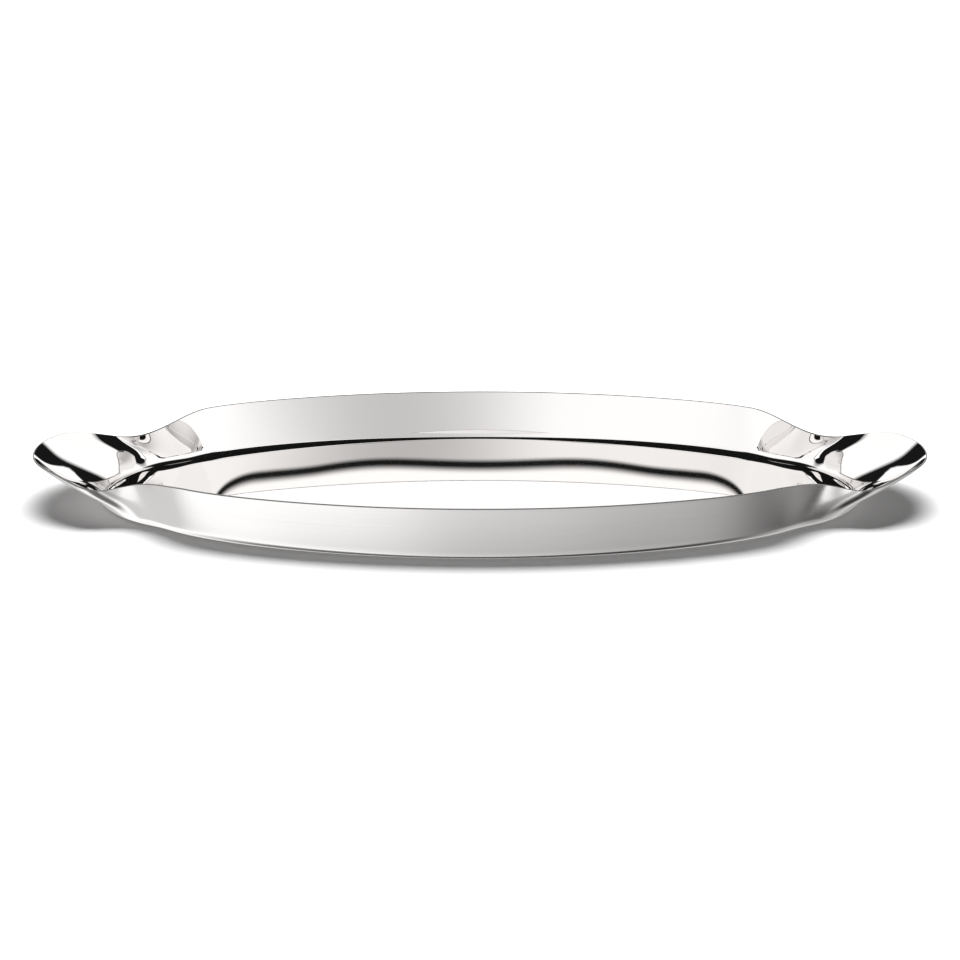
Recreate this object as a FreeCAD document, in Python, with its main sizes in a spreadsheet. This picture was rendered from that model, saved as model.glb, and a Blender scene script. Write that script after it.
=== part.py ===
# Oval serving tray with two flared handles, pressed from one sheet of stainless steel and
# resting on four small bumper feet.  Millimetres, +Z up; the origin is on the table under
# the middle of the tray, X runs from handle to handle.
import FreeCAD, Part
import Sketcher
import math
import os

from FreeCAD import Placement, Rotation, Vector

SIZES = {
    # the rim, seen from above: an oval that runs out into a handle at each end
    "overall_length": 500,
    "rim_length": 445,
    "rim_width": 318,
    "oval_end_angle": 42,      # where the rim leaves the oval, measured from the short axis
    "shoulder_offset": 167,    # from there it turns in to the neck of the handle
    "shoulder_width": 202,
    "neck_offset": 197,
    "neck_width": 140,
    "handle_offset": 193,      # centre of the handle's own rounded outline
    "handle_width": 152,
    "handle_roundness": 2.15,
    # the rim, seen from the side
    "rim_height": 29.3,
    "saddle_height": 20,
    "tip_height": 26.4,
    "saddle_start": 158,
    "saddle_offset": 209,
    "saddle_end": 241,
    # floor and wall
    "base_length": 421,
    "base_width": 309,
    "corner_radius": 2,        # at the middle of the long sides
    "end_corner_radius": 6,    # under the handles
    "wall_hollow": 0.2,        # how far the wall is drawn inward of a straight slope
    "lip_wave": 1,             # the handle's slope swings this far to either side of straight
    "sheet_thickness": 1,
    # bumper feet
    "foot_diameter": 10,
    "foot_height": 1.2,
    "foot_edge": 0.3,
    "foot_offset_x": 135,
    "foot_offset_y": 85,
}
# The oval is laid out in these steps from the middle of the long side.
OVAL_STEPS = 3
# Round each handle: (angle on the rim outline, angle on the base oval under it).
HANDLE_ANGLES = ((16, 66), (34, 70.5), (52, 75.5), (70, 82), (90, 90))
SHOULDER_BASE_ANGLE = 50
NECK_BASE_ANGLE = 61
SECTIONS = 144
CORNER_STEPS = 4
WALL_STEPS = 8
SEWING_GAP = 0.01


def make_sheet(doc):
    sheet = doc.addObject("Spreadsheet::Sheet", "Dimensions")
    for row, (name, value) in enumerate(SIZES.items(), start=1):
        sheet.set(f"A{row}", name)
        sheet.set(f"B{row}", str(value))
        sheet.setAlias(f"B{row}", name)
    doc.recompute()
    return sheet


def smooth_step(x):
    x = min(max(x, 0.0), 1.0)
    return x * x * (3 - 2 * x)


def rim_height_at(x, size):
    """Height of the rim over the underside: level, down to the saddle, up to the tip."""
    fall = smooth_step((abs(x) - size.saddle_start) / (size.saddle_offset - size.saddle_start))
    rise = smooth_step((abs(x) - size.saddle_offset) / (size.saddle_end - size.saddle_offset))
    saddle_drop = size.rim_height - size.saddle_height
    tip_rise = size.tip_height - size.saddle_height
    return size.rim_height - size.foot_height - saddle_drop * fall + tip_rise * rise


def rim_quadrant(size):
    """From the middle of a long side to the tip of a handle: (x, y, base angle) triples."""
    places = []
    for step in range(OVAL_STEPS + 1):
        degrees = size.oval_end_angle * step / OVAL_STEPS
        angle = math.radians(degrees)
        places.append((size.rim_length / 2 * math.sin(angle),
                       size.rim_width / 2 * math.cos(angle), degrees))
    places.append((size.shoulder_offset, size.shoulder_width / 2, SHOULDER_BASE_ANGLE))
    places.append((size.neck_offset, size.neck_width / 2, NECK_BASE_ANGLE))
    power = 2 / size.handle_roundness
    reach = size.overall_length / 2 - size.handle_offset
    for degrees, base_degrees in HANDLE_ANGLES:
        angle = math.radians(degrees)
        places.append((size.handle_offset + reach * math.sin(angle) ** power,
                       size.handle_width / 2 * abs(math.cos(angle)) ** power, base_degrees))
    return places


def around(quadrant):
    """A quadrant reflected into a closed loop, with the base angle running on to 360."""
    half = quadrant + [(x, -y, 180 - angle) for x, y, angle in reversed(quadrant[:-1])]
    return half + [(-x, y, 360 - angle) for x, y, angle in reversed(half[1:-1])]


def rim_and_base(size):
    """Matching points round the rim and round the virtual corner of the base."""
    places = around(rim_quadrant(size))
    outline = Part.BSplineCurve()
    outline.interpolate(Points=[Vector(x, y, 0) for x, y, angle in places], PeriodicFlag=True)
    knots = outline.getKnots()
    lap = knots[-1]
    lead = Part.BSplineCurve()
    lead.interpolate(Points=[Vector(angle - 360 * knot / lap, 0, 0)
                             for (x, y, angle), knot in zip(places, knots)],
                     Parameters=knots, PeriodicFlag=True)
    rim, base = [], []
    for step in range(SECTIONS):
        place = lap * step / SECTIONS
        point = outline.value(place)
        rim.append(Vector(point.x, point.y, rim_height_at(point.x, size)))
        base.append(base_point(360 * step / SECTIONS + lead.value(place).x, size))
    return rim, base


def base_point(degrees, size):
    """Where wall and underside would meet without a corner radius; 0 degrees is the +Y side."""
    angle = math.radians(degrees)
    return Vector(size.base_length / 2 * math.sin(angle), size.base_width / 2 * math.cos(angle), 0)


def section(foot, outward, rim, size):
    """One section of the outer face, corner arc and then wall: (point, direction up it) pairs."""
    up = Vector(0, 0, 1)
    # the corner radius grows from the long sides to the ends
    swell = smooth_step(abs(foot.x) / (size.base_length / 2))
    radius = size.corner_radius + (size.end_corner_radius - size.corner_radius) * swell
    slope = math.atan2(rim.z, (rim - foot).dot(outward))
    centre = foot - outward * (radius * math.tan(slope / 2)) + up * radius
    # the wall is drawn a little inward all round; in a handle its slope also swings in a wave
    handle = smooth_step((abs(rim.x) - size.neck_offset) / (size.saddle_end - size.neck_offset))
    hollow, wave = 4 * size.wall_hollow, size.lip_wave * handle
    first_slope = slope + (hollow + 2 * math.pi * wave) / (rim - foot).Length
    stations = []
    for step in range(CORNER_STEPS + 1):
        turn = first_slope * step / CORNER_STEPS
        point = centre + outward * (radius * math.sin(turn)) - up * (radius * math.cos(turn))
        stations.append((point, outward * math.cos(turn) + up * math.sin(turn)))
    wall_start = stations[-1][0]
    chord = rim - wall_start
    away = outward * math.sin(slope) - up * math.cos(slope)
    for step in range(1, WALL_STEPS + 1):
        share = step / WALL_STEPS
        lap = 2 * math.pi * share
        bend = hollow * share * (1 - share) + wave * math.sin(lap)
        turn_back = hollow * (1 - 2 * share) + 2 * math.pi * wave * math.cos(lap)
        stations.append((wall_start + chord * share - away * bend, chord - away * turn_back))
    return stations


def outer_sections(size):
    rim, base = rim_and_base(size)
    sections = []
    for place in range(SECTIONS):
        along = base[(place + 1) % SECTIONS] - base[place - 1]
        outward = Vector(-along.y, along.x, 0)
        outward.normalize()
        sections.append(section(base[place], outward, rim[place], size))
    return sections


def inner_point(sections, place, level, thickness):
    """The outer point moved square to the face by the sheet thickness."""
    point, up = sections[place][level]
    before = sections[place - 1][level][0]
    after = sections[(place + 1) % len(sections)][level][0]
    inward = (after - before).cross(up)
    inward.normalize()
    return point + inward * thickness


def closed_wire(points):
    """A smooth closed wire; every wire gets the same parameters, so that sections stay matched."""
    curve = Part.BSplineCurve()
    curve.interpolate(Points=points, Parameters=list(range(len(points) + 1)), PeriodicFlag=True)
    return Part.Wire(curve.toShape())


def pressed_shell(size):
    sections = outer_sections(size)
    places = range(len(sections))
    levels = range(CORNER_STEPS + WALL_STEPS + 1)
    outer = [closed_wire([sections[place][level][0] for place in places]) for level in levels]
    inner = [closed_wire([inner_point(sections, place, level, size.sheet_thickness)
                          for place in places]) for level in levels]
    faces = [Part.Face(outer[0]), Part.Face(inner[0])]
    for wires in (outer, inner):
        faces += Part.makeLoft(wires[:CORNER_STEPS + 1], False, False).Faces
        faces += Part.makeLoft(wires[CORNER_STEPS:], False, False).Faces
    faces += Part.makeLoft([outer[-1], inner[-1]], False, True).Faces
    skin = Part.makeCompound(faces)
    skin.sewShape(SEWING_GAP)
    solid = Part.makeSolid(skin.Shells[0] if skin.Shells else skin)
    if solid.Volume < 0:
        solid.reverse()
    return solid


def make_tray(doc, sheet):
    tray = doc.addObject("Part::Feature", "TrayBody")
    tray.Label = "tray_body"
    tray.Shape = pressed_shell(sheet)
    tray.Placement = Placement(Vector(0, 0, sheet.foot_height), Rotation())
    tray.setExpression("Placement.Base.z", "Dimensions.foot_height")
    return tray


def base_plane(body):
    return next(part for part in body.Origin.OriginFeatures if part.Role == "XY_Plane")


def make_foot(doc, number, side_x, side_y):
    """A round pad under the floor with its lower edge rounded off."""
    body = doc.addObject("PartDesign::Body", f"Foot{number}")
    body.Label = f"foot_{number}"

    outline = body.newObject("Sketcher::SketchObject", f"FootOutline{number}")
    outline.AttachmentSupport = [(base_plane(body), "")]
    outline.MapMode = "FlatFace"
    outline.addGeometry(Part.Circle(Vector(0, 0, 0), Vector(0, 0, 1), 5), False)
    outline.addConstraint(Sketcher.Constraint("Coincident", 0, 3, -1, 1))
    outline.addConstraint(Sketcher.Constraint("Diameter", 0, 10))
    outline.setExpression("Constraints[1]", "Dimensions.foot_diameter")

    pad = body.newObject("PartDesign::Pad", f"FootPad{number}")
    pad.Profile = outline
    pad.setExpression("Length", "Dimensions.foot_height")
    doc.recompute()

    lower_edge = min(enumerate(pad.Shape.Edges, start=1), key=lambda item: item[1].BoundBox.ZMax)[0]
    rounding = body.newObject("PartDesign::Fillet", f"FootEdge{number}")
    rounding.Base = (pad, [f"Edge{lower_edge}"])
    rounding.setExpression("Radius", "Dimensions.foot_edge")
    body.Tip = rounding

    body.setExpression("Placement.Base.x", f"{side_x} * Dimensions.foot_offset_x")
    body.setExpression("Placement.Base.y", f"{side_y} * Dimensions.foot_offset_y")
    return body


def check_and_export(doc, parts):
    doc.recompute()
    for item in doc.Objects:
        if "Invalid" in item.State or "Error" in item.State:
            raise RuntimeError(f"{item.Label}: {item.State}")
    os.makedirs("parts", exist_ok=True)
    for part in parts:
        if not part.Shape.isValid() or len(part.Shape.Solids) != 1:
            raise RuntimeError(f"{part.Label} is not one valid solid")
        part.Shape.exportStep(f"parts/{part.Label}.step")
        box = part.Shape.BoundBox
        print(part.Label, f"{box.XLength:.1f} x {box.YLength:.1f} x {box.ZLength:.1f} mm,",
              f"volume {part.Shape.Volume:.0f} mm3")


def build():
    doc = FreeCAD.newDocument("serving_tray")
    sheet = make_sheet(doc)
    parts = [make_tray(doc, sheet)]
    corners = [(1, 1), (-1, 1), (-1, -1), (1, -1)]
    for number, (side_x, side_y) in enumerate(corners, start=1):
        parts.append(make_foot(doc, number, side_x, side_y))
    check_and_export(doc, parts)


build()
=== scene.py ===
"""Oval serving tray pressed from mirror-polished steel, on a pale floor in soft studio light."""

import math

import bpy
import numpy as np
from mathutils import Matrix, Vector


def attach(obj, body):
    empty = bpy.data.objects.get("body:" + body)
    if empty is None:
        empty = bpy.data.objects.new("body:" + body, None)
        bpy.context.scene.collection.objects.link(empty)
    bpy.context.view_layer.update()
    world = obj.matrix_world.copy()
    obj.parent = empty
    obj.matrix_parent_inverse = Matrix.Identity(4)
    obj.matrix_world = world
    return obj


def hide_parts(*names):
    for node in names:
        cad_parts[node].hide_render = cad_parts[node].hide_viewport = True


MM = 0.001

# The tray's own sizes, in millimetres, as in the CAD part.
OVERALL_LENGTH = 500
RIM_LENGTH, RIM_WIDTH = 445, 318
OVAL_END_ANGLE = 42
OVAL_STEPS = 3
SHOULDER, SHOULDER_BASE_ANGLE = (167, 101), 50
NECK, NECK_BASE_ANGLE = (197, 70), 61
HANDLE_OFFSET, HANDLE_WIDTH, HANDLE_ROUNDNESS = 193, 152, 2.15
HANDLE_ANGLES = ((16, 66), (34, 70.5), (52, 75.5), (70, 82), (90, 90))
RIM_HEIGHT, SADDLE_HEIGHT, TIP_HEIGHT = 29.3, 20, 26.4
SADDLE_START, SADDLE_OFFSET, SADDLE_END = 158, 209, 241
BASE_LENGTH, BASE_WIDTH = 421, 309
CORNER_RADIUS, END_CORNER_RADIUS = 2, 6
WALL_HOLLOW = 0.2
LIP_WAVE = 1
SHEET = 1
FOOT_HEIGHT = 1.2

# How finely the visible mesh is divided.
SECTIONS = 720
CORNER_STEPS = 14
WALL_STEPS = 12
EDGE_STEPS = 6
EDGE_GUARD = 0.06
FLOOR_RINGS = (1.0, 0.985, 0.9, 0.7, 0.45, 0.2)

# The camera: elevation in degrees, lens in millimetres, the rest in metres.
CAMERA_ELEVATION = 12.35
CAMERA_DISTANCE = 2.5
AIM_HEIGHT = 0.01013
LENS = 167.25

# The floor that the tray stands on, in metres.
FLOOR_SIDE = 0.6
FLOOR_BACK = 1.2

# The lamp overhead, leaning to the back: metres, degrees and watts.
LIGHT_DISTANCE = 2.4
LIGHT_LEAN = 32
LIGHT_SIZE = 2.2
LIGHT_POWER = 119

# The studio round the tray, as (place, level) stops.  A bearing runs from 0 at the left over
# 0.5 at the front to 1 at the right; a height is a share of the right angle from the horizon.
# Level of the panel in front, by bearing.
PANEL = ((0.0, 1.3), (0.1, 1.15), (0.18, 1.25), (0.39, 1.25), (0.44, 1.15), (0.5, 0.86),
         (0.56, 0.7), (0.62, 0.68), (0.68, 0.76), (0.75, 0.98), (0.82, 1.15), (0.9, 1.3))
# Over the panel comes a dark gap, then the ceiling, then darkness: where it is dark, by height.
FRONT_DARK = ((0.0, 0.0), (0.331, 0.0), (0.333, 1.0), (0.345, 1.0), (0.357, 0.0),
              (0.44, 0.0), (0.46, 1.0))
CEILING = ((0.338, 0.0), (0.342, 1.0))
# How much higher the gap and the ceiling sit than that, by bearing.
LIFT = ((0.0, 0.078), (0.1, 0.078), (0.18, 0.07), (0.24, 0.052), (0.3, 0.024),
        (0.36, 0.009), (0.42, 0.006), (0.5, 0.005), (0.58, 0.006), (0.64, 0.009),
        (0.7, 0.024), (0.76, 0.052), (0.82, 0.07), (0.9, 0.078), (1.0, 0.078))
# Behind the tray: dark overhead by height, and a dark flag at each side, by its distance from
# the middle and by height.
BACK_DARK = ((0.0, 0.0), (0.42, 0.0), (0.46, 1.0))
FLAG_ASIDE = ((0.11, 0.0), (0.12, 1.0), (0.42, 1.0), (0.44, 0.0))
FLAG_HEIGHT = ((0.04, 0.0), (0.05, 1.0), (0.19, 1.0), (0.22, 0.0))
# Below the horizon: level from left to right, and a factor on it by depth.
BELOW = ((0.0, 1.35), (0.23, 1.3), (0.355, 1.15), (0.42, 0.96), (0.52, 0.885), (0.638, 0.8),
         (0.71, 0.72), (0.787, 0.64), (0.89, 0.56), (0.953, 0.47), (0.983, 0.35), (1.0, 0.2))
BELOW_SHADE = ((0.0, 0.58), (0.3, 0.58), (0.385, 1.08), (0.45, 1.0), (0.52, 0.9),
               (0.66, 0.15), (1.0, 0.1))
# Colour ramps end at 1, so brighter levels are stored as a share of this.
BRIGHTEST = 1.5
CEILING_LEVEL = 1.45
BACK_LEVEL = 1.25
DARK_LEVEL = 0.01
FILL = 0.1              # even level that lights matt surfaces from all round
BACKDROP_LEVEL = 1.1    # what the camera sees behind the tray

# Materials: colours, and the faces that each of the tray's materials covers.
POLISHED_COLOUR = (0.815, 0.797, 0.787, 1)
# painted shade: the cut edge is dark grey so that the rim shows a dark outline
EDGE_PAINTED_SHADE_COLOUR = (0.24, 0.235, 0.23, 1)
SILICONE_COLOUR = (0.85, 0.88, 0.9, 1)
FLOOR_COLOUR = (0.9, 0.9, 0.9, 1)
INSIDE, OUTSIDE, CUT_EDGE = 0, 1, 2


# ---------------------------------------------------------------- tray shape

def smooth_step(x):
    x = np.clip(x, 0, 1)
    return x * x * (3 - 2 * x)


def rim_quadrant():
    """From the middle of a long side to the tip of a handle: (x, y, base angle) triples."""
    places = []
    for step in range(OVAL_STEPS + 1):
        degrees = OVAL_END_ANGLE * step / OVAL_STEPS
        angle = math.radians(degrees)
        places.append((RIM_LENGTH / 2 * math.sin(angle), RIM_WIDTH / 2 * math.cos(angle), degrees))
    places.append((*SHOULDER, SHOULDER_BASE_ANGLE))
    places.append((*NECK, NECK_BASE_ANGLE))
    power = 2 / HANDLE_ROUNDNESS
    reach = OVERALL_LENGTH / 2 - HANDLE_OFFSET
    for degrees, base_degrees in HANDLE_ANGLES:
        angle = math.radians(degrees)
        places.append((HANDLE_OFFSET + reach * math.sin(angle) ** power,
                       HANDLE_WIDTH / 2 * abs(math.cos(angle)) ** power, base_degrees))
    return places


def around(quadrant):
    """A quadrant reflected into a closed loop, with the base angle running on to 360."""
    half = quadrant + [(x, -y, 180 - angle) for x, y, angle in reversed(quadrant[:-1])]
    return half + [(-x, y, 360 - angle) for x, y, angle in reversed(half[1:-1])]


def closed_spline(knots, values, places):
    """The smooth closed curve through values at knots, read at places; the last knot is the lap."""
    count = len(values)
    gaps = np.diff(knots)
    matrix = np.zeros((count, count))
    right = np.zeros_like(values)
    for i in range(count):
        before, after = gaps[i - 1], gaps[i]
        following = (i + 1) % count
        matrix[i, i - 1] += before
        matrix[i, i] += 2 * (before + after)
        matrix[i, following] += after
        right[i] = 6 * ((values[following] - values[i]) / after
                        - (values[i] - values[i - 1]) / before)
    bend = np.linalg.solve(matrix, right)
    span = np.clip(np.searchsorted(knots, places, side="right") - 1, 0, count - 1)
    following = (span + 1) % count
    gap = gaps[span][:, None]
    past = (places - knots[span])[:, None]
    left = gap - past
    return (bend[span] * left ** 3 / (6 * gap) + bend[following] * past ** 3 / (6 * gap)
            + (values[span] / gap - bend[span] * gap / 6) * left
            + (values[following] / gap - bend[following] * gap / 6) * past)


def rim_height_at(x):
    """Height of the rim over the underside: level, down to the saddle, up to the tip."""
    fall = smooth_step((np.abs(x) - SADDLE_START) / (SADDLE_OFFSET - SADDLE_START))
    rise = smooth_step((np.abs(x) - SADDLE_OFFSET) / (SADDLE_END - SADDLE_OFFSET))
    return (RIM_HEIGHT - FOOT_HEIGHT - (RIM_HEIGHT - SADDLE_HEIGHT) * fall
            + (TIP_HEIGHT - SADDLE_HEIGHT) * rise)


def rim_and_base():
    """Matching points round the rim and round the virtual corner of the base."""
    places = np.array(around(rim_quadrant()), float)
    steps = np.linalg.norm(np.roll(places[:, :2], -1, axis=0) - places[:, :2], axis=1)
    knots = np.concatenate([[0], np.cumsum(steps)])
    lap = knots[-1]
    lead = places[:, 2] - 360 * knots[:-1] / lap
    along = lap * np.arange(SECTIONS) / SECTIONS
    read = closed_spline(knots, np.column_stack([places[:, :2], lead]), along)
    rim = np.column_stack([read[:, 0], read[:, 1], rim_height_at(read[:, 0])])
    angle = np.radians(360 * along / lap + read[:, 2])
    base = np.column_stack([BASE_LENGTH / 2 * np.sin(angle), BASE_WIDTH / 2 * np.cos(angle),
                            np.zeros(SECTIONS)])
    return rim, base


def unit(vectors):
    return vectors / np.linalg.norm(vectors, axis=-1, keepdims=True)


def outer_rows():
    """Rows of the outer face from the underside up to the rim, and the direction up each."""
    rim, base = rim_and_base()
    along = np.roll(base, -1, axis=0) - np.roll(base, 1, axis=0)
    outward = unit(np.column_stack([-along[:, 1], along[:, 0], np.zeros(SECTIONS)]))
    slope = np.arctan2(rim[:, 2], np.sum((rim - base) * outward, axis=1))[:, None]
    up = np.array([0, 0, 1.0])
    swell = smooth_step(np.abs(base[:, :1]) / (BASE_LENGTH / 2))
    radius = CORNER_RADIUS + (END_CORNER_RADIUS - CORNER_RADIUS) * swell
    centre = base - outward * radius * np.tan(slope / 2) + up * radius
    handle = smooth_step((np.abs(rim[:, :1]) - NECK[0]) / (SADDLE_END - NECK[0]))
    hollow, wave = 4 * WALL_HOLLOW, LIP_WAVE * handle
    length = np.linalg.norm(rim - base, axis=1)[:, None]
    first_slope = slope + (hollow + 2 * math.pi * wave) / length
    rows, risers = [], []
    for step in range(CORNER_STEPS + 1):
        turn = first_slope * step / CORNER_STEPS
        rows.append(centre + radius * (outward * np.sin(turn) - up * np.cos(turn)))
        risers.append(outward * np.cos(turn) + up * np.sin(turn))
    start = rows[-1]
    chord = rim - start
    away = outward * np.sin(slope) - up * np.cos(slope)
    for step in range(1, WALL_STEPS + 1):
        share = step / WALL_STEPS
        lap = 2 * math.pi * share
        bend = hollow * share * (1 - share) + wave * math.sin(lap)
        turn_back = hollow * (1 - 2 * share) + 2 * math.pi * wave * math.cos(lap)
        rows.append(start + chord * share - away * bend)
        risers.append(unit(chord - away * turn_back))
    return rows, risers


def inward_normals(row, riser):
    """Square to the outer face, pointing into the sheet."""
    along = np.roll(row, -1, axis=0) - np.roll(row, 1, axis=0)
    return unit(np.cross(along, riser))


def shell_rows():
    """Closed rows from the serving floor, over the rim, to the underside, with the rows that
    start a face of the cut edge and the row where the outside starts."""
    outer, risers = outer_rows()
    normals = [inward_normals(row, riser) for row, riser in zip(outer, risers)]
    inner = [row + normal * SHEET for row, normal in zip(outer, normals)]
    middle = (outer[-1] + inner[-1]) / 2 - risers[-1] * SHEET / 2
    edge = []
    for step in range(1, EDGE_STEPS):
        turn = math.pi * step / EDGE_STEPS
        edge.append(middle + SHEET / 2 * (normals[-1] * math.cos(turn)
                                          + risers[-1] * math.sin(turn)))
    inner[-1] = middle + normals[-1] * SHEET / 2
    outer[-1] = middle - normals[-1] * SHEET / 2
    # a row just under the rounded edge keeps the shading of the wall from bending towards it
    inner.insert(-1, inner[-1] - risers[-1] * EDGE_GUARD)
    outer.insert(-1, outer[-1] - risers[-1] * EDGE_GUARD)
    top = [inner[0] * [ring, ring, 1] for ring in reversed(FLOOR_RINGS[1:])]
    under = [outer[0] * [ring, ring, 1] for ring in FLOOR_RINGS[1:]]
    edge_from = len(top) + len(inner) - 1
    edge_rows = range(edge_from, edge_from + EDGE_STEPS)
    return top + inner + edge + outer[::-1] + under, edge_rows, edge_rows[-1] + 1


def make_tray():
    rows, edge_rows, outside_from = shell_rows()
    count = len(rows)
    points = np.vstack(rows) * MM
    points[:, 2] += FOOT_HEIGHT * MM
    faces, slots = [], []
    for row in range(count - 1):
        for place in range(SECTIONS):
            following = (place + 1) % SECTIONS
            faces.append((row * SECTIONS + place, (row + 1) * SECTIONS + place,
                          (row + 1) * SECTIONS + following, row * SECTIONS + following))
            slots.append(CUT_EDGE if row in edge_rows else
                         OUTSIDE if row >= outside_from else INSIDE)
    faces.append(tuple(range(SECTIONS)))
    slots.append(INSIDE)
    faces.append(tuple(reversed(range((count - 1) * SECTIONS, count * SECTIONS))))
    slots.append(OUTSIDE)
    mesh = bpy.data.meshes.new("tray_shell")
    mesh.from_pydata(points.tolist(), [], faces)
    mesh.materials.append(mirror_steel())
    mesh.materials.append(satin_steel())
    mesh.materials.append(edge_steel_painted_shade())
    mesh.polygons.foreach_set("material_index", slots)
    mesh.polygons.foreach_set("use_smooth", [True] * len(faces))
    mesh.update()
    tray = bpy.data.objects.new("tray_shell", mesh)
    bpy.context.collection.objects.link(tray)
    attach(tray, "root")
    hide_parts("tray_body")
    return tray


# ---------------------------------------------------------------- materials

def new_material(name, colour):
    material = bpy.data.materials.new(name)
    material.use_nodes = True
    shader = material.node_tree.nodes["Principled BSDF"]
    shader.inputs["Base Color"].default_value = colour
    return material, shader


def vary_roughness(material, scale, low, high, detail=2, stretch=None):
    """Noise in the object's own space, between two roughnesses."""
    nodes, links = material.node_tree.nodes, material.node_tree.links
    place = nodes.new("ShaderNodeTexCoord").outputs["Object"]
    if stretch:
        mapping = nodes.new("ShaderNodeMapping")
        mapping.inputs["Scale"].default_value = stretch
        links.new(place, mapping.inputs["Vector"])
        place = mapping.outputs["Vector"]
    noise = nodes.new("ShaderNodeTexNoise")
    noise.inputs["Scale"].default_value = scale
    noise.inputs["Detail"].default_value = detail
    spread = nodes.new("ShaderNodeMapRange")
    spread.inputs["To Min"].default_value = low
    spread.inputs["To Max"].default_value = high
    links.new(place, noise.inputs["Vector"])
    links.new(noise.outputs["Fac"], spread.inputs["Value"])
    links.new(spread.outputs["Result"], nodes["Principled BSDF"].inputs["Roughness"])


def mirror_steel():
    """Mirror-polished steel with the faintest unevenness left by polishing."""
    material, shader = new_material("mirror_steel", POLISHED_COLOUR)
    shader.inputs["Metallic"].default_value = 1
    vary_roughness(material, 14, 0.01, 0.03, detail=3)
    return material


def satin_steel():
    """The softer outer finish, with fine horizontal polishing lines."""
    material, shader = new_material("satin_steel", POLISHED_COLOUR)
    shader.inputs["Metallic"].default_value = 1
    vary_roughness(material, 1, 0.16, 0.26, detail=4, stretch=(6, 6, 900))
    return material


def edge_steel_painted_shade():
    """The cut edge of the sheet, rounded but not polished, coloured dark grey as painted shade."""
    material, shader = new_material("edge_steel_painted_shade", EDGE_PAINTED_SHADE_COLOUR)
    shader.inputs["Metallic"].default_value = 0.2
    vary_roughness(material, 300, 0.5, 0.65)
    return material


def clear_silicone():
    material, shader = new_material("clear_silicone", SILICONE_COLOUR)
    shader.inputs["Transmission Weight"].default_value = 0.6
    shader.inputs["IOR"].default_value = 1.41
    vary_roughness(material, 400, 0.25, 0.45)
    return material


def pale_floor():
    material, shader = new_material("pale_floor", FLOOR_COLOUR)
    shader.inputs["Roughness"].default_value = 0.9
    shader.inputs["Specular IOR Level"].default_value = 0
    return material


def dress_feet():
    silicone = clear_silicone()
    for name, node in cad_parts.items():
        if name.startswith("foot_"):
            for slot in node.material_slots:
                slot.material = silicone


# ---------------------------------------------------------------- studio

def make_floor():
    mesh = bpy.data.meshes.new("studio_floor")
    mesh.from_pydata([(-FLOOR_SIDE, -FLOOR_SIDE, 0), (FLOOR_SIDE, -FLOOR_SIDE, 0),
                      (FLOOR_SIDE, FLOOR_BACK, 0), (-FLOOR_SIDE, FLOOR_BACK, 0)],
                     [], [(0, 1, 2, 3)])
    mesh.materials.append(pale_floor())
    floor = bpy.data.objects.new("studio_floor", mesh)
    bpy.context.collection.objects.link(floor)
    floor.visible_glossy = False


def ramp(nodes, stops, interpolation="LINEAR"):
    node = nodes.new("ShaderNodeValToRGB")
    node.color_ramp.interpolation = interpolation
    elements = node.color_ramp.elements
    while len(elements) < len(stops):
        elements.new(0.5)
    for element, (position, level) in zip(elements, stops):
        element.position = position
        element.color = (level, level, level, 1)
    return node


def bright_ramp(nodes, links, place, stops):
    """A smooth ramp whose levels may pass 1, read at a place."""
    node = ramp(nodes, [(position, level / BRIGHTEST) for position, level in stops], "B_SPLINE")
    links.new(place, node.inputs["Fac"])
    scale = nodes.new("ShaderNodeMath")
    scale.operation = "MULTIPLY"
    scale.inputs[1].default_value = BRIGHTEST
    links.new(node.outputs["Color"], scale.inputs[0])
    return scale.outputs["Value"]


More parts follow.
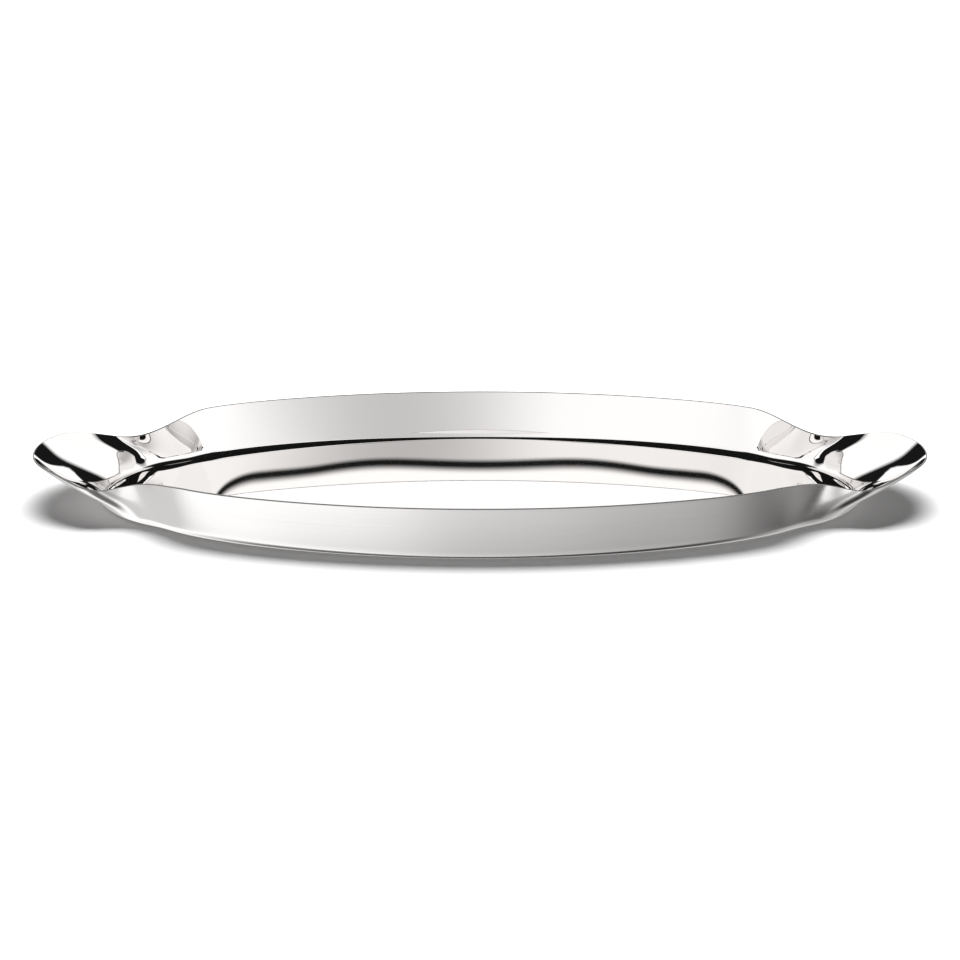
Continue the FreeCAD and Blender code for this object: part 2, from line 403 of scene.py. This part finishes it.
def make_world():
    """A white studio: a graded panel and a ceiling in front with a dark gap between them, a
    bright back with a dark flag at each side, and a gradient below the horizon."""
    world = bpy.data.worlds.new("studio")
    bpy.context.scene.world = world
    world.use_nodes = True
    nodes, links = world.node_tree.nodes, world.node_tree.links
    background = nodes["Background"]
    place = nodes.new("ShaderNodeTexCoord")
    split = nodes.new("ShaderNodeSeparateXYZ")
    links.new(place.outputs["Generated"], split.inputs["Vector"])

    def maths(operation, first, second=0):
        node = nodes.new("ShaderNodeMath")
        node.operation = operation
        for socket, value in zip(node.inputs, (first, second)):
            if isinstance(value, (int, float)):
                socket.default_value = value
            else:
                links.new(value, socket)
        return node.outputs["Value"]

    def blend(amount, low, high):
        node = nodes.new("ShaderNodeMix")
        node.data_type = "FLOAT"
        for name, value in (("Factor", amount), ("A", low), ("B", high)):
            if isinstance(value, (int, float)):
                node.inputs[name].default_value = value
            else:
                links.new(value, node.inputs[name])
        return node.outputs["Result"]

    def stepped(place, stops, interpolation="LINEAR"):
        node = ramp(nodes, stops, interpolation)
        links.new(place, node.inputs["Fac"])
        return node.outputs["Color"]

    x, z = split.outputs["X"], split.outputs["Z"]
    forward = maths("MULTIPLY", split.outputs["Y"], -1)
    bearing = maths("ADD", maths("DIVIDE", maths("ARCTAN2", x, forward), math.pi), 0.5)
    elevation = maths("ARCSINE", z)
    height = maths("DIVIDE", elevation, math.pi / 2)

    lifted = maths("SUBTRACT", height, stepped(bearing, LIFT, "B_SPLINE"))
    front = blend(stepped(lifted, CEILING), bright_ramp(nodes, links, bearing, PANEL),
                  CEILING_LEVEL)
    front = blend(stepped(lifted, FRONT_DARK), front, DARK_LEVEL)

    flag = maths("MULTIPLY", stepped(maths("ABSOLUTE", x), FLAG_ASIDE),
                 stepped(height, FLAG_HEIGHT))
    behind = blend(stepped(height, BACK_DARK), BACK_LEVEL, DARK_LEVEL)
    behind = blend(flag, behind, DARK_LEVEL)

    # how far to the right, 0 to 1, whatever the depth
    rightward = maths("ADD", maths("DIVIDE", x, maths("COSINE", elevation)), 1)
    below = bright_ramp(nodes, links, maths("MULTIPLY", rightward, 0.5), BELOW)
    depth = maths("MULTIPLY", height, -1)
    below = maths("MULTIPLY", below, stepped(depth, BELOW_SHADE))

    studio = blend(maths("GREATER_THAN", forward, 0), behind, front)
    studio = blend(maths("LESS_THAN", height, 0), studio, below)
    paths = nodes.new("ShaderNodeLightPath")
    seen = blend(paths.outputs["Is Diffuse Ray"], studio, FILL)
    seen = blend(paths.outputs["Is Camera Ray"], seen, BACKDROP_LEVEL)
    links.new(seen, background.inputs["Color"])


def make_light():
    light = bpy.data.lights.new("overhead", "AREA")
    light.shape = "DISK"
    light.size = LIGHT_SIZE
    light.energy = LIGHT_POWER
    lamp = bpy.data.objects.new("overhead", light)
    bpy.context.collection.objects.link(lamp)
    lean = math.radians(LIGHT_LEAN)
    lamp.location = (0, LIGHT_DISTANCE * math.sin(lean), LIGHT_DISTANCE * math.cos(lean))
    lamp.rotation_euler = (-lean, 0, 0)
    lamp.visible_glossy = False
    lamp.visible_camera = False


def make_camera():
    camera = bpy.data.objects.new("camera", bpy.data.cameras.new("camera"))
    bpy.context.collection.objects.link(camera)
    camera.data.lens = LENS
    tilt = math.radians(CAMERA_ELEVATION)
    aim = Vector((0, 0, AIM_HEIGHT))
    camera.location = aim + CAMERA_DISTANCE * Vector((0, -math.cos(tilt), math.sin(tilt)))
    camera.rotation_euler = (math.pi / 2 - tilt, 0, 0)
    bpy.context.scene.camera = camera


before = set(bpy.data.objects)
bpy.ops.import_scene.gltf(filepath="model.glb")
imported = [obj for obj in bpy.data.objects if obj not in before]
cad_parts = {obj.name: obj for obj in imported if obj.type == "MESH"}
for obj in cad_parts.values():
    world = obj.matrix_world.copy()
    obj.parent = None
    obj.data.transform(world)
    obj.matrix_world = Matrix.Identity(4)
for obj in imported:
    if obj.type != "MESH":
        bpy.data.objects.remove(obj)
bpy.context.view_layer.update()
make_tray()
dress_feet()
make_floor()
make_world()
make_light()
make_camera()
bpy.context.scene.view_settings.view_transform = "Standard"
